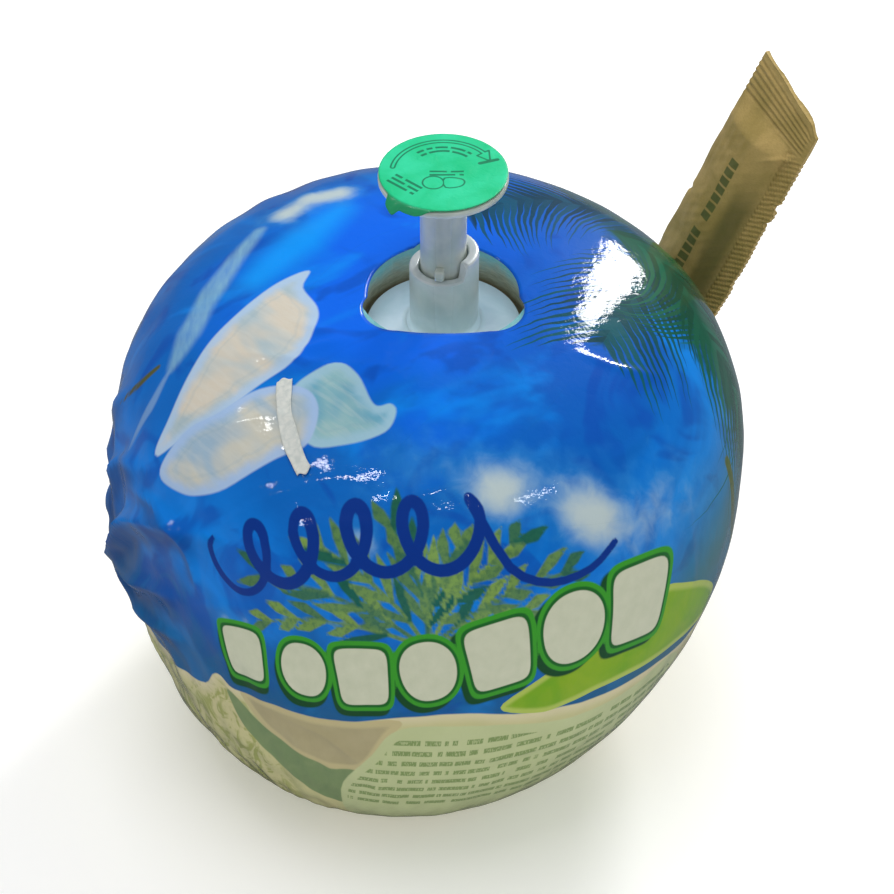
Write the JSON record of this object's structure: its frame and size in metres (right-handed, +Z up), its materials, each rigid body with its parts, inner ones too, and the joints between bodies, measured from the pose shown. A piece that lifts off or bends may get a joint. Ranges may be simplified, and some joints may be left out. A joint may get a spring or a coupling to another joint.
{
  "type": "shrink-wrapped young coconut with twist opener",
  "caption": "Young coconut in printed shrink film, with a hollow twist opener standing in a well in its crown and a straw in a paper sachet tucked behind it.",
  "frame": {"origin": "middle of the flat base, on the surface it stands on", "axes": "+Z up; -Y is the front of the print; -X is the side with the film's gathered fold; the sachet stands at the +X +Y side"},
  "size_m": [0.1397, 0.125, 0.1375],
  "materials": {
    "husk": "fibrous pale husk",
    "printed_film": "glossy printed shrink film, blue over green and cream",
    "white_plastic": "moulded, slightly translucent white",
    "clear_plastic": "moulded, milky translucent",
    "green_label": "coated bright green label",
    "kraft_paper": "brown kraft, crimped seals",
    "straw_paper": "plain pale paper tube",
    "white_tape": "matt white"
  },
  "bodies": {
    "fruit": {"coconut": "husk", "film_wrap": "printed_film", "opener_socket": "white_plastic", "straw_sachet": "kraft_paper", "straw": "straw_paper", "tape_strip": "white_tape"},
    "opener": {"opener_plunger": "clear_plastic", "opener_sticker": "green_label"}
  },
  "joints": [
    {"name": "opener_turn", "type": "hinge", "parent": "fruit", "child": "opener", "pos_m": [0.01, 0, 0.118], "axis": [0, 0, 1], "range_deg": [-130, 20]}
  ]
}
